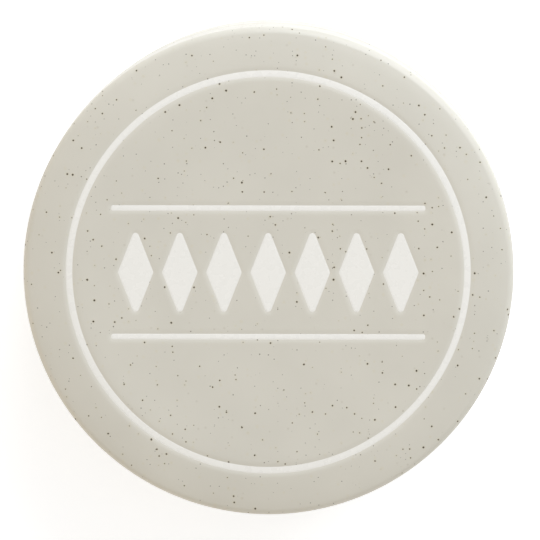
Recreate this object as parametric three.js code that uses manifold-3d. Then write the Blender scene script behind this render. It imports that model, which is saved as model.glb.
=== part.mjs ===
// A round stoneware cheese baker in two pieces: a shallow dish, and a lid with white glaze in sunk lines.
// Millimetres, +Z up. The origin is the centre of the foot, on the table.

import * as THREE from 'three';
import { mergeVertices } from 'three/addons/utils/BufferGeometryUtils.js';
import Module from 'manifold-3d';

const wasm = await Module();
wasm.setup();

// Outside of the baker
const OUTER_DIAMETER = 140;
const DISH_HEIGHT = 35;
const LID_HEIGHT = 20;
const DISH_DRAFT = 1.2; // the dish's wall leans in by this much from its rim to its foot
const SEAM_ROUND = 1.2;

// Dish
const DISH_WALL = 6;
const DISH_FLOOR = 6;
const FOOT_HEIGHT = 1.5;
const FOOT_WIDTH = 7;
const FOOT_ROUND = 0.7;
const BASE_ROUND = 4;
const RIM_ROUND = 1.5;
const FLOOR_ROUND = 8;

// Lid
const LID_TOP = 6.5;
const LID_WALL = 7;
const CEILING_ROUND = 5;
const NECK_HEIGHT = 5; // how far above the seat the flange's inside reaches the lid's wall
const NECK_ROUND = 4;
const FLANGE_DEPTH = 5;
const FLANGE_WALL = 4;
const FLANGE_ROUND = 1.2;
const FLANGE_CLEARANCE = 1; // between the flange and the dish's mouth
const SEAT_ROUND = 0.6;
const BAND_DROP = 1.8; // the band outside the ring falls by this much to the lid's edge
const EDGE_ROUND = 2.4;

// White glaze in sunk lines on the lid's face
const SINK_DEPTH = 1;
const GLAZE_BELOW_FACE = 0.1;
const GLAZE_GAP = 0.3; // between the glaze and the sides of its line
const RING_INSET = 13.2; // from the outer diameter to the middle of the ring
const RING_WIDTH = 1.6;
const RULE_WIDTH = 1.3;
const RULE_ROUND = 0.5;
const RULE_END_GAP = 8; // from a rule's ends to the ring
const RULE_SIDE_GAP = 5.25; // from a rule to the points of the lozenges
const LOZENGE_WIDTH = 10;
const LOZENGE_HEIGHT = 25; // from point to point, before the points are rounded
const LOZENGE_SPACING = 2.6;
const LOZENGE_ROUND = 0.8;

// Fineness of the facets
const TURN_STEPS = 64;
const ARC_TOLERANCE = 0.06;
const MERGE_DISTANCE = 1e-4;

const outerRadius = OUTER_DIAMETER / 2;
const mouthRadius = outerRadius - DISH_WALL;
const glazeFloor = LID_HEIGHT - SINK_DEPTH;
const glazeThickness = SINK_DEPTH - GLAZE_BELOW_FACE;
const ringRadius = outerRadius - RING_INSET;
const ringInside = ringRadius - RING_WIDTH / 2;
const ringOutside = ringRadius + RING_WIDTH / 2;
const ruleOffset = LOZENGE_HEIGHT / 2 + RULE_SIDE_GAP + RULE_WIDTH / 2;
const ruleReach = Math.sqrt(ringInside ** 2 - (ruleOffset + RULE_WIDTH / 2) ** 2);
const ruleLength = 2 * (ruleReach - RULE_END_GAP);
const lozengePitch = LOZENGE_WIDTH + LOZENGE_SPACING;
const lozengeCount = Math.floor((ruleLength + LOZENGE_SPACING) / lozengePitch);

const speckledGlaze = new THREE.MeshStandardMaterial({ color: 0xd0ccc0, roughness: 0.35, metalness: 0 });
const whiteGlaze = new THREE.MeshStandardMaterial({ color: 0xebe9e3, roughness: 0.25, metalness: 0 });

// One corner of an outline, rounded by an arc of the fillet's radius.
function corner(x, y, fillet = 0) {
  return { place: new THREE.Vector2(x, y), fillet };
}

// The points of an outline: its corners in order, with an arc in place of each one that has a fillet.
// Where two fillets need more than the edge between them, they share it.
function roundedOutline(corners) {
  const count = corners.length;
  const bends = corners.map(({ place, fillet }, i) => {
    const toLast = corners[(i + count - 1) % count].place.clone().sub(place);
    const toNext = corners[(i + 1) % count].place.clone().sub(place);
    const edge = toNext.length();
    const halfAngle = Math.acos(toLast.normalize().dot(toNext.normalize())) / 2;
    const reach = fillet > 0 ? fillet / Math.tan(halfAngle) : 0;
    return { place, toLast, toNext, edge, halfAngle, reach };
  });
  return bends.flatMap((bend, i) => {
    const { place, toLast, toNext, halfAngle } = bend;
    if (bend.reach === 0) {
      return [place];
    }
    const last = bends[(i + count - 1) % count];
    const next = bends[(i + 1) % count];
    const shareOfLast = last.edge / (bend.reach + last.reach);
    const shareOfNext = bend.edge / (bend.reach + next.reach);
    const reach = bend.reach * Math.min(1, shareOfLast, shareOfNext);
    const radius = reach * Math.tan(halfAngle);
    const start = place.clone().addScaledVector(toLast, reach);
    const inward = toLast.clone().add(toNext).normalize();
    const centre = place.clone().addScaledVector(inward, radius / Math.sin(halfAngle));
    const turn = (Math.PI - 2 * halfAngle) * Math.sign(toNext.cross(toLast));
    const stepAngle = 2 * Math.acos(Math.max(0, 1 - ARC_TOLERANCE / radius));
    const steps = Math.ceil(Math.abs(turn) / stepAngle);
    const along = (k) => start.clone().rotateAround(centre, (turn * k) / steps);
    return Array.from({ length: steps + 1 }, (_, k) => along(k));
  });
}

// A closed section of radii and heights, turned about the Z axis.
function turned(section) {
  const geometry = new THREE.LatheGeometry(section, TURN_STEPS);
  geometry.rotateX(Math.PI / 2);
  return geometry;
}

// A flat outline raised into a plate from the floor of the sunk lines.
function raised(outline, thickness) {
  const shape = new THREE.Shape(outline);
  const geometry = new THREE.ExtrudeGeometry(shape, { depth: thickness, bevelEnabled: false });
  geometry.translate(0, 0, glazeFloor);
  return geometry;
}

function toSolid(geometry) {
  const bare = new THREE.BufferGeometry();
  bare.setAttribute('position', geometry.getAttribute('position'));
  bare.setIndex(geometry.getIndex());
  const merged = mergeVertices(bare, MERGE_DISTANCE);
  const index = merged.getIndex().array;
  const triVerts = [];
  for (let i = 0; i < index.length; i += 3) {
    const [a, b, c] = index.slice(i, i + 3);
    if (a !== b && b !== c && c !== a) {
      triVerts.push(a, b, c);
    }
  }
  return new wasm.Manifold(new wasm.Mesh({
    numProp: 3,
    vertProperties: new Float32Array(merged.getAttribute('position').array),
    triVerts: new Uint32Array(triVerts),
  }));
}

function toGeometry(solid) {
  const { vertProperties, triVerts } = solid.getMesh();
  const geometry = new THREE.BufferGeometry();
  geometry.setAttribute('position', new THREE.BufferAttribute(vertProperties, 3));
  geometry.setIndex(new THREE.BufferAttribute(triVerts, 1));
  geometry.computeVertexNormals();
  return geometry;
}

function named(name, geometry, material) {
  const mesh = new THREE.Mesh(geometry, material);
  mesh.name = name;
  return mesh;
}

// Dish: a straight-sided shallow bowl on a low foot ring, with a flat rim for the lid's seat
function dishGeometry() {
  const baseRadius = outerRadius - DISH_DRAFT;
  const footInside = baseRadius - BASE_ROUND - FOOT_WIDTH;
  const floor = FOOT_HEIGHT + DISH_FLOOR;
  return turned(roundedOutline([
    corner(0, FOOT_HEIGHT),
    corner(footInside, FOOT_HEIGHT, FOOT_ROUND),
    corner(footInside, 0, FOOT_ROUND),
    corner(baseRadius, 0, BASE_ROUND),
    corner(outerRadius, DISH_HEIGHT, SEAM_ROUND),
    corner(mouthRadius, DISH_HEIGHT, RIM_ROUND),
    corner(mouthRadius - DISH_DRAFT, floor, FLOOR_ROUND),
    corner(0, floor),
  ]));
}

// A rule's or a lozenge's outline, grown all round by the given amount
function ruleOutline(y, grow) {
  const halfLength = ruleLength / 2 + grow;
  const halfWidth = RULE_WIDTH / 2 + grow;
  const round = RULE_ROUND + grow;
  return roundedOutline([
    corner(-halfLength, y - halfWidth, round),
    corner(halfLength, y - halfWidth, round),
    corner(halfLength, y + halfWidth, round),
    corner(-halfLength, y + halfWidth, round),
  ]);
}

function lozengeOutline(x, grow) {
  const side = Math.hypot(LOZENGE_WIDTH, LOZENGE_HEIGHT);
  const halfWidth = LOZENGE_WIDTH / 2 + (grow * side) / LOZENGE_HEIGHT;
  const halfHeight = LOZENGE_HEIGHT / 2 + (grow * side) / LOZENGE_WIDTH;
  const round = LOZENGE_ROUND + grow;
  return roundedOutline([
    corner(x, -halfHeight, round),
    corner(x + halfWidth, 0, round),
    corner(x, halfHeight, round),
    corner(x - halfWidth, 0, round),
  ]);
}

// The flat marks on the lid's face, from top to bottom and from left to right
function faceMarks() {
  const marks = [
    { name: 'upper_rule_glaze', outline: (grow) => ruleOutline(ruleOffset, grow) },
    { name: 'lower_rule_glaze', outline: (grow) => ruleOutline(-ruleOffset, grow) },
  ];
  for (let i = 0; i < lozengeCount; i += 1) {
    const x = (i - (lozengeCount - 1) / 2) * lozengePitch;
    marks.push({ name: `lozenge_glaze_${i + 1}`, outline: (grow) => lozengeOutline(x, grow) });
  }
  return marks;
}

// Lid, from its seat up: a cap with a locating flange below the seat, a sloping outer band and sunk lines
function lidGeometry(marks) {
  const flangeRadius = mouthRadius - FLANGE_CLEARANCE;
  const flangeInside = flangeRadius - FLANGE_WALL;
  const wallInside = outerRadius - LID_WALL;
  const ceiling = LID_HEIGHT - LID_TOP;
  const lineInside = ringInside - GLAZE_GAP;
  const lineOutside = ringOutside + GLAZE_GAP;
  const body = turned(roundedOutline([
    corner(0, ceiling),
    corner(wallInside, ceiling, CEILING_ROUND),
    corner(wallInside, NECK_HEIGHT, NECK_ROUND),
    corner(flangeInside, 0, NECK_ROUND),
    corner(flangeInside, -FLANGE_DEPTH, FLANGE_ROUND),
    corner(flangeRadius, -FLANGE_DEPTH, FLANGE_ROUND),
    corner(flangeRadius, 0, SEAT_ROUND),
    corner(outerRadius, 0, SEAM_ROUND),
    corner(outerRadius, LID_HEIGHT - BAND_DROP, EDGE_ROUND),
    corner(lineOutside, LID_HEIGHT),
    corner(lineOutside, glazeFloor),
    corner(lineInside, glazeFloor),
    corner(lineInside, LID_HEIGHT),
    corner(0, LID_HEIGHT),
  ]));
  const sunk = marks.map(({ outline }) => toSolid(raised(outline(GLAZE_GAP), LID_HEIGHT)));
  return toGeometry(sunk.reduce((solid, line) => solid.subtract(line), toSolid(body)));
}

function ringGeometry() {
  const section = [
    new THREE.Vector2(ringInside, glazeFloor),
    new THREE.Vector2(ringOutside, glazeFloor),
    new THREE.Vector2(ringOutside, glazeFloor + glazeThickness),
    new THREE.Vector2(ringInside, glazeFloor + glazeThickness),
  ];
  return turned([...section, section[0]]);
}

const marks = faceMarks();

const lid = new THREE.Group();
lid.position.z = DISH_HEIGHT;
lid.add(named('lid', lidGeometry(marks), speckledGlaze));
lid.add(named('ring_glaze', ringGeometry(), whiteGlaze));
for (const { name, outline } of marks) {
  lid.add(named(name, raised(outline(0), glazeThickness), whiteGlaze));
}

const baker = new THREE.Group();
baker.add(named('dish', dishGeometry(), speckledGlaze));
baker.add(lid);

export default baker;
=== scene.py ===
"""Looks of the round stoneware cheese baker: a dish, and a lid with white glaze pooled in sunk lines.

Metres, +Z up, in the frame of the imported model.
The camera looks down on the lid, with +Y up in the picture.
"""
import math

import bmesh
import bpy
from mathutils import Color, Matrix, Vector
from mathutils.geometry import delaunay_2d_cdt


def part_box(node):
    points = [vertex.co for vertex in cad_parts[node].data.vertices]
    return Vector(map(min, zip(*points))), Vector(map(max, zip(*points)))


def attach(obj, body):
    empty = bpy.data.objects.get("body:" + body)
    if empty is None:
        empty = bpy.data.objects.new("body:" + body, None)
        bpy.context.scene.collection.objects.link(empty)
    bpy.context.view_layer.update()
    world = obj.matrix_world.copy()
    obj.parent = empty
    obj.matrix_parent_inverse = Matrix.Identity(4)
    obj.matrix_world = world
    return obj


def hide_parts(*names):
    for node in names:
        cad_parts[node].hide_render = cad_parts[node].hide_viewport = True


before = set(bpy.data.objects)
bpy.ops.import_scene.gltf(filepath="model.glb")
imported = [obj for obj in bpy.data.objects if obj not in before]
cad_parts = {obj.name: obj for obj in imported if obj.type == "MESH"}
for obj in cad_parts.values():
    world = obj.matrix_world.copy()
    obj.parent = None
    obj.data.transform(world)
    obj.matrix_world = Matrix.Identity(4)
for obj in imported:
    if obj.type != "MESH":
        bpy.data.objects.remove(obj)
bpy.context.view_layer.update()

MM = 0.001

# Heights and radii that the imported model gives
SEAM_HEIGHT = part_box("dish")[1].z
FACE_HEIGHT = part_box("lid")[1].z
FLANGE_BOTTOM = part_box("lid")[0].z
RING_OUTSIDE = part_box("ring_glaze")[1].x

# Section of the dish and the lid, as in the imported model
OUTER_RADIUS = 70 * MM
DISH_DRAFT = 1.2 * MM
SEAM_ROUND = 1.2 * MM
DISH_WALL = 6 * MM
DISH_FLOOR = 6 * MM
FOOT_HEIGHT = 1.5 * MM
FOOT_WIDTH = 7 * MM
FOOT_ROUND = 0.7 * MM
BASE_ROUND = 4 * MM
RIM_ROUND = 1.5 * MM
FLOOR_ROUND = 8 * MM
LID_TOP = 6.5 * MM
LID_WALL = 7 * MM
CEILING_ROUND = 5 * MM
NECK_HEIGHT = 5 * MM
NECK_ROUND = 4 * MM
FLANGE_WALL = 4 * MM
FLANGE_ROUND = 1.2 * MM
FLANGE_CLEARANCE = 1 * MM
SEAT_ROUND = 0.6 * MM
BAND_DROP = 1.8 * MM
EDGE_ROUND = 2.4 * MM

# Soft bends on both sides of the lid's sloping band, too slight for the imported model
BEND_ROUND = 80 * MM  # between the flat of the face and the band
EASE_ROUND = 28 * MM  # where the band turns steeper, before its rounded edge
EASE_TILT = math.radians(6)  # how much steeper it turns

# Sunk lines and the white glaze in them
SINK_DEPTH = 1 * MM
LINE_ZONE = 2 * SINK_DEPTH  # no point of a sunk line lies deeper than this below the face
LINE_GAP = 0.3 * MM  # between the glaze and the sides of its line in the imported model
RING_EDGE_DEPTH = 0.19 * MM  # how far below the face the glaze meets the side of its line
MARK_EDGE_DEPTH = 0.13 * MM
GLAZE_CROWN = 0.012 * MM  # how much higher the glaze stands in the middle of its line
GLAZE_RISE_WIDTH = 0.4 * MM  # how far from the side the glaze reaches that height
SHOULDER_WIDTH = 1.6 * MM  # the soft slope from the face down to the glaze
SHOULDER_STEPS = 8
WALL_WIDTH = 0.45 * MM  # the steeper side under the glaze
WALL_STEPS = 3
WHITE_REACH = 0.25 * MM  # how far the white fades out over the shoulder
HALO_SHARE = 0.1  # how much thin white is left beyond that
RING_WIDTH = 1.6 * MM
RULE_ROUND = 0.5 * MM
LOZENGE_ROUND = 0.8 * MM

# Where the sloping band and its soft bends lie
BAND_RADIUS = RING_OUTSIDE + LINE_GAP
BAND_SLOPE = math.atan2(BAND_DROP, OUTER_RADIUS - BAND_RADIUS)
BEND_START = BAND_RADIUS - BEND_ROUND * math.tan(BAND_SLOPE / 2)
BEND_END = BEND_START + BEND_ROUND * math.sin(BAND_SLOPE)
# The band turns steeper just before its rounded edge starts
EDGE_SLOPE = BAND_SLOPE + EASE_TILT
EDGE_REACH = EDGE_ROUND * math.tan((math.pi / 2 - EDGE_SLOPE) / 2)
EASE_RADIUS = OUTER_RADIUS - EASE_ROUND * math.tan(EASE_TILT / 2) - EDGE_REACH

# Fineness of the meshes
TURN_STEPS = 288
ARC_TOLERANCE = 0.004 * MM
RUN_SPACING = 3 * MM
RUN_SUPPORT = 0.35 * MM  # how close to its ends a straight run is cut
SHORT_RUN = 3 * RUN_SUPPORT  # straight runs up to this length stay whole
LOOP_SPACING = 0.8 * MM
LOOP_ARC_STEPS = 6
POOL_STEPS = 5
RING_POOL_STEPS = 24
FILLER_SPACING = 4 * MM
FILLER_CLEARANCE = 1.6 * MM
BEND_SPACING = 0.7 * MM
DISC_MARGIN = 0.6 * MM  # flat face left between the bend and the disc inside it
WELD_DISTANCE = 0.0001 * MM  # points of the disc closer than this are one
HULL_TRIANGLES = 0  # makes the triangulation fill everything inside its outermost points
FLOOR_SEGMENTS = 96

# Bare clay, where the glaze is wiped off before firing, and thin glaze on the rims
FOOT_BARE_HEIGHT = 0.35 * MM
FLANGE_BARE_HEIGHT = 0.8 * MM
BARE_BLUR = 0.35 * MM
THIN_REACH = 2.2 * MM  # how far from a rim the glaze is thin

# Colours, as seen in plain light
GLAZE_LIGHT = (212, 208, 196)
GLAZE_DARK = (207, 203, 191)
WHITE = (240, 238, 232)
WHITE_SHADE = (239, 237, 231)
SPECK = (66, 55, 32)
STAIN = (206, 197, 166)
BURIED_SPECK = (168, 158, 138)
THIN_GLAZE = (194, 181, 156)
CLAY_LIGHT = (203, 184, 156)
CLAY_DARK = (184, 163, 134)
FLOOR_COLOUR = (244, 243, 240)

# Patterns in the glazes and the clay
NOISE_LOW = 0.3  # most of a noise's values lie between these two
NOISE_HIGH = 0.7
NOISE_CENTRE = (0.5, 0.5, 0.5)
NOISE_DETAIL = 2
WOBBLE_SIZE = 0.35 * MM  # what makes the specks uneven
WOBBLE_SHIFT = 0.16 * MM
WOBBLE_DETAIL = 1
LARGE_SPECKS = dict(cell=2 * MM, smallest=0.16 * MM, largest=0.35 * MM, share=0.46, softness=0.25)
STAINS = dict(LARGE_SPECKS, smallest=0.4 * MM, largest=0.8 * MM, softness=1)  # round the large specks
SMALL_SPECKS = dict(cell=1.3 * MM, smallest=0.11 * MM, largest=0.22 * MM, share=0.36, softness=0.4)
BURIED_SPECKS = dict(cell=2.6 * MM, smallest=0.2 * MM, largest=0.55 * MM, share=0.35, softness=0.9)
STAIN_STRENGTH = 0.5
SMALL_STRENGTH = 0.8
BURIED_STRENGTH = 0.3
CLOUD_SIZE = 24 * MM  # lighter and darker areas of the glaze
CLOUD_DETAIL = 3
THIN_PATCH = 3 * MM
SATIN_PATCH = 6 * MM
SATIN_ROUGHNESS = (0.3, 0.38)
WAVE_SIZE = 9 * MM  # the glaze's slow waves
WAVE_DEPTH = 0.008 * MM
PEEL_SIZE = 1.1 * MM  # the finer ripples on them
PEEL_DEPTH = 0.0025 * MM
PIT_DEPTH = 0.012 * MM  # of the large specks
GRAIN_SIZE = 0.5 * MM  # of the bare clay
GRAIN_DETAIL = 4
GRAIN_DEPTH = 0.06 * MM
CLAY_ROUGHNESS = 0.85
WHITE_CLOUD = 9 * MM
WHITE_PATCH = 3 * MM
WHITE_ROUGHNESS = (0.24, 0.32)
WHITE_WAVE = 2 * MM
WHITE_WAVE_DEPTH = 0.0008 * MM

# Camera: the photograph's view of the lid
CAMERA_DISTANCE = 2.1
CAMERA_TILT = math.radians(5.5)  # towards the top of the lid
CAMERA_TURN = math.radians(1.0)  # towards the right of the lid
CAMERA_AIM = Vector((0.52 * MM, 0.7 * MM, FACE_HEIGHT))
PICTURE_WIDTH = 153.9 * MM  # what the picture shows across, at the lid's face
SENSOR_WIDTH = 36

# Light
ZENITH_STRENGTH = 0.57
HORIZON_STRENGTH = 1.2
HORIZON_HEIGHT = 0.5  # sine of the angle above which the light is the zenith's
WARM_COLOUR = (0.96, 0.86, 0.72)
COOL_COLOUR = (1.05, 1.12, 1.19)
COOL_SIDE = Vector((0.71, 0.71, 0))
LAMP_DISTANCE = 2.4
KEY_DIRECTION = Vector((0.43, 0.75, 0.5))
KEY_SIZE = 2.4
KEY_POWER = 48.5
KEY_COLOUR = (0.95, 0.99, 1.07)
FILL_DIRECTION = Vector((-0.9, -0.35, 0.15))
FILL_SIZE = 1.6
FILL_POWER = 7
FILL_COLOUR = (1.2, 0.97, 0.7)

# Floor of plain paper
FLOOR_RADIUS = 4
PAPER_PATCH = 30 * MM
PAPER_SHADE = 0.98
PAPER_ROUGHNESS = 0.9
FLOOR_GLOW = 0.43
GLOW_COLOUR = (1, 1.04, 1.12)


def corner(x, y, fillet=0):
    """One corner of a section, rounded by an arc of the fillet's radius."""
    return Vector((x, y)), fillet


class Elbow:
    """A corner with the two runs that meet in it, and how far along them its arc wants to reach."""

    def __init__(self, place, fillet, last_place, next_place):
        to_last = last_place - place
        to_next = next_place - place
        self.place = place
        self.to_last = to_last.normalized()
        self.to_next = to_next.normalized()
        self.run_to_next = to_next.length
        self.half_angle = to_last.angle(to_next) / 2
        self.wanted = fillet / math.tan(self.half_angle) if fillet else 0

    def arc(self, reach):
        """The points of the arc that reaches this far along both runs."""
        radius = reach * math.tan(self.half_angle)
        start = self.place + self.to_last * reach
        inward = (self.to_last + self.to_next).normalized()
        centre = self.place + inward * radius / math.sin(self.half_angle)
        turn = math.copysign(math.pi - 2 * self.half_angle, self.to_next.cross(self.to_last))
        step = 2 * math.acos(1 - ARC_TOLERANCE / radius)
        steps = math.ceil(abs(turn) / step)
        angles = [turn * k / steps for k in range(steps + 1)]
        return [centre + Matrix.Rotation(angle, 2) @ (start - centre) for angle in angles]


def rounded_section(corners):
    """The points of a section: its corners in order, with an arc in place of each that has a fillet.

    Where two fillets need more than the run between them, they share it.
    """
    count = len(corners)
    elbows = []
    for i, (place, fillet) in enumerate(corners):
        elbows.append(Elbow(place, fillet, corners[i - 1][0], corners[(i + 1) % count][0]))
    points = []
    for i, elbow in enumerate(elbows):
        if not elbow.wanted:
            points.append(elbow.place)
            continue
        before = elbows[i - 1]
        after = elbows[(i + 1) % count]
        share_before = before.run_to_next / (elbow.wanted + before.wanted)
        share_after = elbow.run_to_next / (elbow.wanted + after.wanted)
        points.extend(elbow.arc(elbow.wanted * min(1, share_before, share_after)))
    return points


def with_supports(points):
    """The same section with its long straight runs cut up, and a point close to each of their ends."""
    cut = [points[0]]
    for start, end in zip(points, points[1:]):
        run = end - start
        if run.length > SHORT_RUN:
            pieces = math.ceil(run.length / RUN_SPACING)
            inset = run.normalized() * RUN_SUPPORT
            cut.append(start + inset)
            cut.extend(start + run * k / pieces for k in range(1, pieces))
            cut.append(end - inset)
        cut.append(end)
    return cut


def turn_section(mesh, section, closed=False):
    """Turns a section of radii and heights about the Z axis and returns the rings of vertices."""
    angles = [2 * math.pi * k / TURN_STEPS for k in range(TURN_STEPS)]
    circle = [(math.cos(angle), math.sin(angle)) for angle in angles]
    rings = []
    for radius, height in section:
        if radius == 0:
            # On the axis one vertex stands for the whole ring, and the faces there are triangles
            rings.append([mesh.verts.new((0, 0, height))] * TURN_STEPS)
        else:
            rings.append([mesh.verts.new((radius * x, radius * y, height)) for x, y in circle])
    pairs = list(zip(rings, rings[1:]))
    if closed:
        pairs.append((rings[-1], rings[0]))
    for low, high in pairs:
        for k in range(TURN_STEPS):
            after = (k + 1) % TURN_STEPS
            around = [low[k], low[after], high[after], high[k]]
            mesh.faces.new(list(dict.fromkeys(around)))
    return rings


def make_piece(name, mesh, body, node, material, tints=None):
    """A smooth piece on a body, in place of a node; tints give named values at each of its points."""
    bmesh.ops.recalc_face_normals(mesh, faces=mesh.faces)
    data = bpy.data.meshes.new(name)
    mesh.to_mesh(data)
    mesh.free()
    data.polygons.foreach_set("use_smooth", [True] * len(data.polygons))
    for tint, value_at in (tints or {}).items():
        values = data.attributes.new(tint, "FLOAT", "POINT")
        values.data.foreach_set("value", [value_at(v.co) for v in data.vertices])
    piece = bpy.data.objects.new(name, data)
    bpy.context.scene.collection.objects.link(piece)
    data.materials.append(material)
    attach(piece, body)
    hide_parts(node)


class Mark:
    """A flat white mark on the lid's face: a convex core, grown all round by a radius."""

    def __init__(self, node, core, growth):
        self.node = node
        self.core = core
        self.growth = growth

    def outside(self, point):
        """How far a point lies outside the mark's edge, negative inside."""
        nearest = math.inf
        depth = -math.inf
        for start, end in zip(self.core, self.core[1:] + self.core[:1]):
            run = end - start
            outward = Vector((run.y, -run.x)).normalized()
            along = min(1, max(0, (point - start).dot(run) / run.length_squared))
            nearest = min(nearest, (point - start - run * along).length)
            depth = max(depth, (point - start).dot(outward))
        return (depth if depth < 0 else nearest) - self.growth

    def loop(self, offset):
        """The outline at a distance outside the mark's edge."""
        radius = self.growth + offset
        count = len(self.core)
        points = []
        for i, place in enumerate(self.core):
            into = place - self.core[i - 1]
            away = self.core[(i + 1) % count] - place
            first = math.atan2(-into.x, into.y)
            turn = into.angle(away)
            for k in range(LOOP_ARC_STEPS + 1):
                angle = first + turn * k / LOOP_ARC_STEPS
                points.append(place + Vector((math.cos(angle), math.sin(angle))) * radius)
        return subdivided(points)


def subdivided(loop):
    """A closed loop with its long edges cut to the loop spacing."""
    cut = []
    for start, end in zip(loop, loop[1:] + loop[:1]):
        pieces = max(1, round((end - start).length / LOOP_SPACING))
        cut.extend(start.lerp(end, k / pieces) for k in range(pieces))
    return cut


def inset_sides(node, inset):
    """The left, right, bottom and top of a node's box, each moved in by the inset."""
    low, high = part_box(node)
    return low.x + inset, high.x - inset, low.y + inset, high.y - inset


def rule_mark(node):
    """A straight rule with rounded corners."""
    left, right, bottom, top = inset_sides(node, RULE_ROUND)
    core = [Vector((left, bottom)), Vector((right, bottom)), Vector((right, top)), Vector((left, top))]
    return Mark(node, core, RULE_ROUND)


def lozenge_mark(node):
    """An upright lozenge with rounded points."""
    left, right, bottom, top = inset_sides(node, LOZENGE_ROUND)
    x = (left + right) / 2
    y = (bottom + top) / 2
    core = [Vector((x, bottom)), Vector((right, y)), Vector((x, top)), Vector((left, y))]
    return Mark(node, core, LOZENGE_ROUND)


def eased(share):
    """A share held between 0 and 1, with a soft start and a soft end."""
    held = min(1, max(0, share))
    return held * held * (3 - 2 * held)


def line_offsets():
    """Distances outside the glaze's edge at which a sunk line is cut, from its rim down to its floor."""
    shoulder = [SHOULDER_WIDTH * (k / SHOULDER_STEPS) ** 2 for k in range(SHOULDER_STEPS, -1, -1)]
    wall = [-WALL_WIDTH * k / WALL_STEPS for k in range(1, WALL_STEPS + 1)]
    return shoulder + wall


def shoulder_share(outside):
    """How much of its depth a line's shoulder has, at a distance outside the glaze's edge.

    It falls more and more steeply towards the line, and levels out under the fading white.
    """
    slope_width = SHOULDER_WIDTH - WHITE_REACH
    fall = max(0, SHOULDER_WIDTH - max(outside, WHITE_REACH)) / slope_width
    level = max(0, 1 - outside / WHITE_REACH)
    level_depth = WHITE_REACH / slope_width
    return (fall ** 2 + level_depth * level * (2 - level)) / (1 + level_depth)


def line_depth(outside, edge_depth):
    """Depth of a sunk line below the face, at a distance outside the glaze's edge."""
    if outside >= 0:
        return edge_depth * shoulder_share(outside)
    fall = min(1, -outside / WALL_WIDTH)
    return edge_depth + (SINK_DEPTH - edge_depth) * fall * (2 - fall)


def glaze_depth(outside, edge_depth):
    """Depth of the glaze's surface below the face: it swells up from the side of its line."""
    fall = max(0, 1 + outside / GLAZE_RISE_WIDTH)
    return edge_depth - GLAZE_CROWN * (1 - fall ** 2)


def whiteness(outside):
    """How white the lid's own glaze is, at a distance outside the pooled glaze's edge."""
    halo = HALO_SHARE * eased(1 - outside / SHOULDER_WIDTH)
    return halo + (1 - HALO_SHARE) * eased(1 - outside / WHITE_REACH)


def nearness(place, rims):
    """1 on a rim, given by its radius and height, fading to 0 away from it."""
    turned = Vector((place.xy.length, place.z))
    return eased(1 - min((turned - Vector(rim)).length for rim in rims) / THIN_REACH)


def fade_below(height, edge):
    """1 under an edge's height and 0 above it, with a soft change that is half way at the edge."""
    return min(1, max(0, 0.5 + (edge - height) / BARE_BLUR))


def srgb(colour):
    """A colour of 0 to 255 parts, as Blender's linear numbers."""
    shown = Color([part / 255 for part in colour])
    return (*shown.from_srgb_to_scene_linear(), 1)


# Materials
def feed(tree, socket, value):
    """Gives a node's input a value: a socket is linked to it, and any other is set."""
    if isinstance(value, bpy.types.NodeSocket):
        tree.links.new(value, socket)
    else:
        socket.default_value = value


def add_node(tree, kind, inputs=None, **settings):
    """A shader node with its settings and the values of its inputs."""
    made = tree.nodes.new(kind)
    for name, value in settings.items():
        setattr(made, name, value)
    for key, value in (inputs or {}).items():
        feed(tree, made.inputs[key], value)
    return made


def new_material(name):
    """An empty material, its tree of nodes, and the place on the object that its patterns follow."""
    material = bpy.data.materials.new(name)
    material.use_nodes = True
    tree = material.node_tree
    tree.nodes.clear()
    place = add_node(tree, "ShaderNodeTexCoord").outputs["Object"]
    return material, tree, place


def noise(tree, place, size, detail=NOISE_DETAIL, output="Fac"):
    """Cloudy variation from 0 to 1, of about the given size."""
    inputs = {"Vector": place, "Scale": 1 / size, "Detail": detail}
    return add_node(tree, "ShaderNodeTexNoise", inputs).outputs[output]


def ranged(tree, value, low, high, to_low, to_high):
    """A value's range moved to another one, and held inside it."""
    inputs = {"Value": value, "From Min": low, "From Max": high, "To Min": to_low, "To Max": to_high}
    return add_node(tree, "ShaderNodeMapRange", inputs).outputs["Result"]


def patches(tree, place, size, detail=NOISE_DETAIL, values=(0, 1)):
    """Soft patches of about the given size, between two values."""
    return ranged(tree, noise(tree, place, size, detail), NOISE_LOW, NOISE_HIGH, *values)


def math_node(tree, operation, first, second):
    """The result of an operation on two numbers."""
    return add_node(tree, "ShaderNodeMath", {0: first, 1: second}, operation=operation).outputs[0]


def times(tree, first, second):
    """The product of two numbers."""
    return math_node(tree, "MULTIPLY", first, second)


def vector_node(tree, operation, inputs):
    """A node that works on vectors."""
    return add_node(tree, "ShaderNodeVectorMath", inputs, operation=operation)


def mixed(tree, factor, first, second):
    """One colour fading into another."""
    mix = add_node(tree, "ShaderNodeMix", data_type="RGBA")
    # The node has sockets for every type of data, and only those that mix colours are enabled
    sockets = {socket.name: socket for socket in mix.inputs if socket.enabled}
    feed(tree, sockets["Factor"], factor)
    feed(tree, sockets["A"], first)
    feed(tree, sockets["B"], second)
    return next(socket for socket in mix.outputs if socket.enabled)


def attribute(tree, name):
    """One of the tints that a piece carries at its points."""
    return add_node(tree, "ShaderNodeAttribute", attribute_name=name).outputs["Fac"]


def specks(tree, place, cell, smallest, largest, share, softness):
    """A mask of specks: some cells of a random pattern hold one, each with its own radius."""
    cells = add_node(tree, "ShaderNodeTexVoronoi", {"Vector": place, "Scale": 1 / cell})
    chance = add_node(tree, "ShaderNodeSeparateColor", {"Color": cells.outputs["Color"]})
    radius = ranged(tree, chance.outputs["Green"], 0, 1, smallest / cell, largest / cell)
    core = times(tree, radius, 1 - softness)
    dot = ranged(tree, cells.outputs["Distance"], core, radius, 1, 0)
    held = math_node(tree, "LESS_THAN", chance.outputs["Red"], share)
    return times(tree, dot, held)


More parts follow.
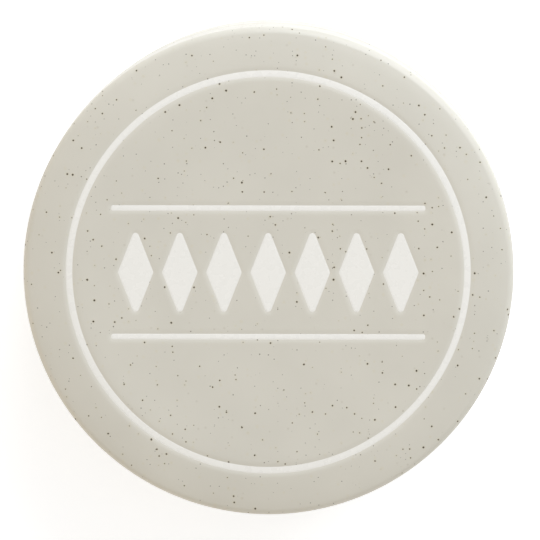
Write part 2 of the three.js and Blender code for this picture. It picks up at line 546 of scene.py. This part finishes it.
def wobbled(tree, place):
    """Places shifted a little at random, so that round things come out uneven."""
    shift = noise(tree, place, WOBBLE_SIZE, WOBBLE_DETAIL, "Color")
    centred = vector_node(tree, "SUBTRACT", {0: shift, 1: NOISE_CENTRE}).outputs[0]
    scaled = vector_node(tree, "SCALE", {0: centred, "Scale": WOBBLE_SHIFT}).outputs[0]
    return vector_node(tree, "ADD", {0: place, 1: scaled}).outputs[0]


def bump(tree, height, depth, normal=None):
    """A normal tilted by small heights from 0 to 1 times a depth, on top of another normal."""
    inputs = {"Height": height, "Distance": depth, "Strength": 1}
    if normal is not None:
        inputs["Normal"] = normal
    return add_node(tree, "ShaderNodeBump", inputs).outputs["Normal"]


def finish_material(tree, inputs):
    """Ends a material with its shader."""
    shader = add_node(tree, "ShaderNodeBsdfPrincipled", inputs)
    add_node(tree, "ShaderNodeOutputMaterial", {"Surface": shader.outputs["BSDF"]})


def speckled_glaze():
    """Warm grey satin glaze with iron specks.

    It is white beside the pooled glaze, thin on the rims, and wiped off where the clay is bare.
    """
    material, tree, place = new_material("speckled_glaze")
    bare = attribute(tree, "bare")
    uneven = wobbled(tree, place)
    large = specks(tree, uneven, **LARGE_SPECKS)
    stain = specks(tree, uneven, **STAINS)
    small = specks(tree, uneven, **SMALL_SPECKS)
    buried = specks(tree, uneven, **BURIED_SPECKS)

    clouds = patches(tree, place, CLOUD_SIZE, CLOUD_DETAIL)
    colour = mixed(tree, clouds, srgb(GLAZE_DARK), srgb(GLAZE_LIGHT))
    thin = times(tree, attribute(tree, "thin"), noise(tree, place, THIN_PATCH))
    colour = mixed(tree, thin, colour, srgb(THIN_GLAZE))
    colour = mixed(tree, times(tree, buried, BURIED_STRENGTH), colour, srgb(BURIED_SPECK))
    colour = mixed(tree, times(tree, stain, STAIN_STRENGTH), colour, srgb(STAIN))
    specked = math_node(tree, "MAXIMUM", large, times(tree, small, SMALL_STRENGTH))
    colour = mixed(tree, specked, colour, srgb(SPECK))
    colour = mixed(tree, attribute(tree, "white"), colour, srgb(WHITE))

    grain = noise(tree, place, GRAIN_SIZE, GRAIN_DETAIL)
    clay = mixed(tree, grain, srgb(CLAY_DARK), srgb(CLAY_LIGHT))
    clay = mixed(tree, large, clay, srgb(SPECK))
    colour = mixed(tree, bare, colour, clay)

    satin = patches(tree, place, SATIN_PATCH, CLOUD_DETAIL, SATIN_ROUGHNESS)
    roughness = ranged(tree, bare, 0, 1, satin, CLAY_ROUGHNESS)

    waves = bump(tree, noise(tree, place, WAVE_SIZE), WAVE_DEPTH)
    peel = bump(tree, noise(tree, place, PEEL_SIZE), PEEL_DEPTH, waves)
    pits = bump(tree, math_node(tree, "SUBTRACT", 1, large), PIT_DEPTH, peel)
    normal = bump(tree, times(tree, grain, bare), GRAIN_DEPTH, pits)
    finish_material(tree, {"Base Color": colour, "Roughness": roughness, "Normal": normal})
    return material


def white_glaze():
    """Thick smooth white glaze, a little uneven in tone."""
    material, tree, place = new_material("white_glaze")
    colour = mixed(tree, patches(tree, place, WHITE_CLOUD), srgb(WHITE_SHADE), srgb(WHITE))
    roughness = patches(tree, place, WHITE_PATCH, values=WHITE_ROUGHNESS)
    normal = bump(tree, noise(tree, place, WHITE_WAVE), WHITE_WAVE_DEPTH)
    finish_material(tree, {"Base Color": colour, "Roughness": roughness, "Normal": normal})
    return material


def seen_directly(tree):
    """1 for what is seen straight, in a reflection or through glass, and 0 for the light on surfaces."""
    path = add_node(tree, "ShaderNodeLightPath")
    seen = math_node(tree, "MAXIMUM", path.outputs["Is Camera Ray"], path.outputs["Is Glossy Ray"])
    return math_node(tree, "MAXIMUM", seen, path.outputs["Is Transmission Ray"])


def floor_material():
    """Matt white paper that shows as plain white where nothing shades it."""
    material, tree, place = new_material("floor")
    fibre = ranged(tree, noise(tree, place, PAPER_PATCH), 0, 1, PAPER_SHADE, 1)
    finish_material(tree, {
        "Base Color": mixed(tree, fibre, (0, 0, 0, 1), srgb(FLOOR_COLOUR)),
        "Roughness": PAPER_ROUGHNESS,
        "Specular IOR Level": 0,
        "Emission Color": (*GLOW_COLOUR, 1),
        "Emission Strength": times(tree, seen_directly(tree), FLOOR_GLOW),
    })
    return material


# Pieces
def dish_piece(glaze):
    """A straight-sided shallow bowl on a low foot ring, which is left bare."""
    base_radius = OUTER_RADIUS - DISH_DRAFT
    foot_inside = base_radius - BASE_ROUND - FOOT_WIDTH
    mouth_radius = OUTER_RADIUS - DISH_WALL
    floor = FOOT_HEIGHT + DISH_FLOOR
    section = rounded_section([
        corner(0, FOOT_HEIGHT),
        corner(foot_inside, FOOT_HEIGHT, FOOT_ROUND),
        corner(foot_inside, 0, FOOT_ROUND),
        corner(base_radius, 0, BASE_ROUND),
        corner(OUTER_RADIUS, SEAM_HEIGHT, SEAM_ROUND),
        corner(mouth_radius, SEAM_HEIGHT, RIM_ROUND),
        corner(mouth_radius - DISH_DRAFT, floor, FLOOR_ROUND),
        corner(0, floor),
    ])
    mesh = bmesh.new()
    turn_section(mesh, with_supports(section))
    rims = [(OUTER_RADIUS, SEAM_HEIGHT), (mouth_radius, SEAM_HEIGHT)]
    tints = {
        "bare": lambda place: fade_below(place.z, FOOT_BARE_HEIGHT),
        "thin": lambda place: nearness(place, rims),
        "white": lambda place: 0,
    }
    make_piece("dish_body", mesh, "dish", "dish", glaze, tints)


def stepped(start, end):
    """Even steps from one radius to another, no longer than the bend's spacing."""
    steps = math.ceil(abs(end - start) / BEND_SPACING)
    return [start + (end - start) * k / steps for k in range(steps + 1)]


def ring_outside(radius):
    """How far a radius lies outside the edge of the white ring, negative inside it."""
    return abs(radius - RING_OUTSIDE + RING_WIDTH / 2) - RING_WIDTH / 2


def face_fall(radius):
    """How far the lid's face has fallen at a radius: a flat, then a soft bend, then the sloping band."""
    if radius < BEND_END:
        into_bend = max(0, radius - BEND_START)
        return BEND_ROUND - math.sqrt(BEND_ROUND ** 2 - into_bend ** 2)
    return (radius - BAND_RADIUS) * math.tan(BAND_SLOPE)


def bend_section():
    """The face's bend from the outside in, with the ring's line and its soft shoulders sunk in it."""
    ring_inside = RING_OUTSIDE - RING_WIDTH
    outer = [RING_OUTSIDE + offset for offset in line_offsets()]
    inner = [ring_inside - offset for offset in reversed(line_offsets())]
    before = stepped(BEND_END, outer[0])
    after = stepped(inner[-1], BEND_START - DISC_MARGIN)
    section = []
    for radius in before[:-1] + outer + inner + after[1:]:
        depth = face_fall(radius) + line_depth(ring_outside(radius), RING_EDGE_DEPTH)
        section.append(Vector((radius, FACE_HEIGHT - depth)))
    return section


def lid_section():
    """The lid from its ceiling out over the flange and the seat, then up and in to its face's disc."""
    flange_radius = OUTER_RADIUS - DISH_WALL - FLANGE_CLEARANCE
    flange_inside = flange_radius - FLANGE_WALL
    wall_inside = OUTER_RADIUS - LID_WALL
    ceiling = FACE_HEIGHT - LID_TOP
    ease_height = FACE_HEIGHT - face_fall(EASE_RADIUS)
    edge_height = ease_height - (OUTER_RADIUS - EASE_RADIUS) * math.tan(EDGE_SLOPE)
    bend = bend_section()
    outside = rounded_section([
        corner(0, ceiling),
        corner(wall_inside, ceiling, CEILING_ROUND),
        corner(wall_inside, SEAM_HEIGHT + NECK_HEIGHT, NECK_ROUND),
        corner(flange_inside, SEAM_HEIGHT, NECK_ROUND),
        corner(flange_inside, FLANGE_BOTTOM, FLANGE_ROUND),
        corner(flange_radius, FLANGE_BOTTOM, FLANGE_ROUND),
        corner(flange_radius, SEAM_HEIGHT, SEAT_ROUND),
        corner(OUTER_RADIUS, SEAM_HEIGHT, SEAM_ROUND),
        corner(OUTER_RADIUS, edge_height, EDGE_ROUND),
        corner(EASE_RADIUS, ease_height, EASE_ROUND),
        corner(bend[0].x, bend[0].y),
    ])
    return with_supports(outside) + bend[1:]


def add_disc(mesh, rim, marks):
    """Fills the lid's face inside its ring of rim vertices, with the marks' sunk lines in it."""
    points = [v.co.xy for v in rim]
    edges = [(k, (k + 1) % len(rim)) for k in range(len(rim))]
    for mark in marks:
        for offset in [SHOULDER_WIDTH + RUN_SUPPORT] + line_offsets():
            loop = mark.loop(offset)
            first = len(points)
            points.extend(loop)
            edges.extend((first + k, first + (k + 1) % len(loop)) for k in range(len(loop)))
    reach = rim[0].co.xy.length - FILLER_CLEARANCE
    steps = math.ceil(reach / FILLER_SPACING)
    for i in range(-steps, steps + 1):
        for j in range(-steps, steps + 1):
            point = Vector((i, j)) * FILLER_SPACING
            far_from_marks = min(m.outside(point) for m in marks) > SHOULDER_WIDTH + FILLER_CLEARANCE
            if point.length < reach and far_from_marks:
                points.append(point)
    filled = delaunay_2d_cdt(points, edges, [], HULL_TRIANGLES, WELD_DISTANCE)
    flat, _, triangles, sources, _, _ = filled
    verts = []
    for point, source in zip(flat, sources):
        on_rim = [k for k in source if k < len(rim)]
        if on_rim:
            verts.append(rim[on_rim[0]])
            continue
        depth = line_depth(min(m.outside(point) for m in marks), MARK_EDGE_DEPTH)
        verts.append(mesh.verts.new((point.x, point.y, FACE_HEIGHT - depth)))
    for triangle in triangles:
        mesh.faces.new([verts[k] for k in triangle])


def lid_piece(glaze, marks):
    """A cap with a locating flange, a sloping outer band, and soft sunk lines in its face."""
    mesh = bmesh.new()
    rings = turn_section(mesh, lid_section())
    add_disc(mesh, rings[-1], marks)

    def white(place):
        if place.z < FACE_HEIGHT - LINE_ZONE:
            return 0
        outside = min([m.outside(place.xy) for m in marks] + [ring_outside(place.xy.length)])
        return whiteness(outside)

    tints = {
        "white": white,
        "bare": lambda place: fade_below(place.z, FLANGE_BOTTOM + FLANGE_BARE_HEIGHT),
        "thin": lambda place: nearness(place, [(OUTER_RADIUS, SEAM_HEIGHT)]),
    }
    make_piece("lid_body", mesh, "lid", "lid", glaze, tints)


def ring_pool(glaze):
    """The white glaze that fills the ring's line."""
    radii = [RING_OUTSIDE - RING_WIDTH * k / RING_POOL_STEPS for k in range(RING_POOL_STEPS + 1)]

    def height(radius, depth_at):
        return FACE_HEIGHT - face_fall(radius) - depth_at(ring_outside(radius), RING_EDGE_DEPTH)

    top = [Vector((r, height(r, glaze_depth))) for r in radii]
    under = [Vector((r, height(r, line_depth))) for r in radii[1:-1]]
    mesh = bmesh.new()
    turn_section(mesh, top + under[::-1], closed=True)
    make_piece("ring_pool", mesh, "lid", "ring_glaze", glaze)


def mark_pool(mark, glaze):
    """The white glaze in one mark: a top that swells from its edge, and an underside in the line."""
    mesh = bmesh.new()
    step = GLAZE_RISE_WIDTH / POOL_STEPS

    def ring(offset, depth):
        return [mesh.verts.new((p.x, p.y, FACE_HEIGHT - depth)) for p in mark.loop(offset)]

    def bridge(first, second):
        for k in range(len(first)):
            after = (k + 1) % len(first)
            mesh.faces.new([first[k], first[after], second[after], second[k]])

    edge = ring(0, MARK_EDGE_DEPTH)
    for depth_at in (glaze_depth, line_depth):
        last = edge
        # One step past the rise, to where the top is level
        for k in range(1, POOL_STEPS + 2):
            inner = ring(-step * k, depth_at(-step * k, MARK_EDGE_DEPTH))
            bridge(last, inner)
            last = inner
        mesh.faces.new(last)
    name = mark.node.replace("_glaze", "_pool")
    make_piece(name, mesh, "lid", mark.node, glaze)


# Stage
def add_floor():
    """A wide round floor, which isn't part of the object."""
    mesh = bmesh.new()
    bmesh.ops.create_circle(mesh, cap_ends=True, segments=FLOOR_SEGMENTS, radius=FLOOR_RADIUS)
    data = bpy.data.meshes.new("floor")
    mesh.to_mesh(data)
    mesh.free()
    data.materials.append(floor_material())
    floor = bpy.data.objects.new("floor", data)
    bpy.context.scene.collection.objects.link(floor)


def add_world():
    """Soft light from all round, stronger towards the horizon, warm on one side and cool on the other.

    It is plain white where it is seen.
    """
    world = bpy.data.worlds.new("studio")
    bpy.context.scene.world = world
    world.use_nodes = True
    tree = world.node_tree
    tree.nodes.clear()
    seen = seen_directly(tree)
    direction = add_node(tree, "ShaderNodeTexCoord").outputs["Generated"]
    side = vector_node(tree, "DOT_PRODUCT", {0: direction, 1: COOL_SIDE}).outputs["Value"]
    coolness = ranged(tree, side, -1, 1, 0, 1)
    tone = mixed(tree, coolness, (*WARM_COLOUR, 1), (*COOL_COLOUR, 1))
    colour = mixed(tree, seen, tone, (1, 1, 1, 1))
    height = add_node(tree, "ShaderNodeSeparateXYZ", {"Vector": direction}).outputs["Z"]
    strength = ranged(tree, height, 0, HORIZON_HEIGHT, HORIZON_STRENGTH, ZENITH_STRENGTH)
    strength = ranged(tree, seen, 0, 1, strength, 1)
    light = add_node(tree, "ShaderNodeBackground", {"Color": colour, "Strength": strength})
    add_node(tree, "ShaderNodeOutputWorld", {"Surface": light.outputs["Background"]})


def facing(direction, up):
    """A turn whose own Z lies along a direction, with its Y as near to up as it can be."""
    back = direction.normalized()
    right = up.cross(back).normalized()
    return Matrix((right, back.cross(right), back)).transposed().to_4x4()


def add_lamp(name, direction, size, power, colour):
    """A large square soft lamp that faces the object."""
    light = bpy.data.lights.new(name, "AREA")
    light.shape = "SQUARE"
    light.size = size
    light.energy = power
    light.color = colour
    lamp = bpy.data.objects.new(name, light)
    toward = direction.normalized()
    turn = facing(toward, Vector((0, 0, 1)))
    lamp.matrix_world = Matrix.Translation(toward * LAMP_DISTANCE) @ turn
    bpy.context.scene.collection.objects.link(lamp)


def add_camera():
    """A distant camera that looks down on the lid."""
    lens = bpy.data.cameras.new("camera")
    lens.sensor_width = SENSOR_WIDTH
    lens.lens = SENSOR_WIDTH * CAMERA_DISTANCE / PICTURE_WIDTH
    camera = bpy.data.objects.new("camera", lens)
    toward = Vector((math.sin(CAMERA_TURN), math.sin(CAMERA_TILT), math.cos(CAMERA_TILT))).normalized()
    turn = facing(toward, Vector((0, 1, 0)))
    camera.matrix_world = Matrix.Translation(CAMERA_AIM + toward * CAMERA_DISTANCE) @ turn
    bpy.context.scene.collection.objects.link(camera)
    bpy.context.scene.camera = camera


def build():
    """The whole scene: the stage, the materials and the pieces."""
    bpy.context.scene.view_settings.view_transform = "Standard"
    add_camera()
    add_world()
    add_lamp("key", KEY_DIRECTION, KEY_SIZE, KEY_POWER, KEY_COLOUR)
    add_lamp("fill", FILL_DIRECTION, FILL_SIZE, FILL_POWER, FILL_COLOUR)
    add_floor()
    nodes = sorted(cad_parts)
    marks = [rule_mark(n) for n in nodes if n.endswith("_rule_glaze")]
    marks += [lozenge_mark(n) for n in nodes if n.startswith("lozenge_glaze_")]
    speckled = speckled_glaze()
    white = white_glaze()
    dish_piece(speckled)
    lid_piece(speckled, marks)
    ring_pool(white)
    for mark in marks:
        mark_pool(mark, white)


build()
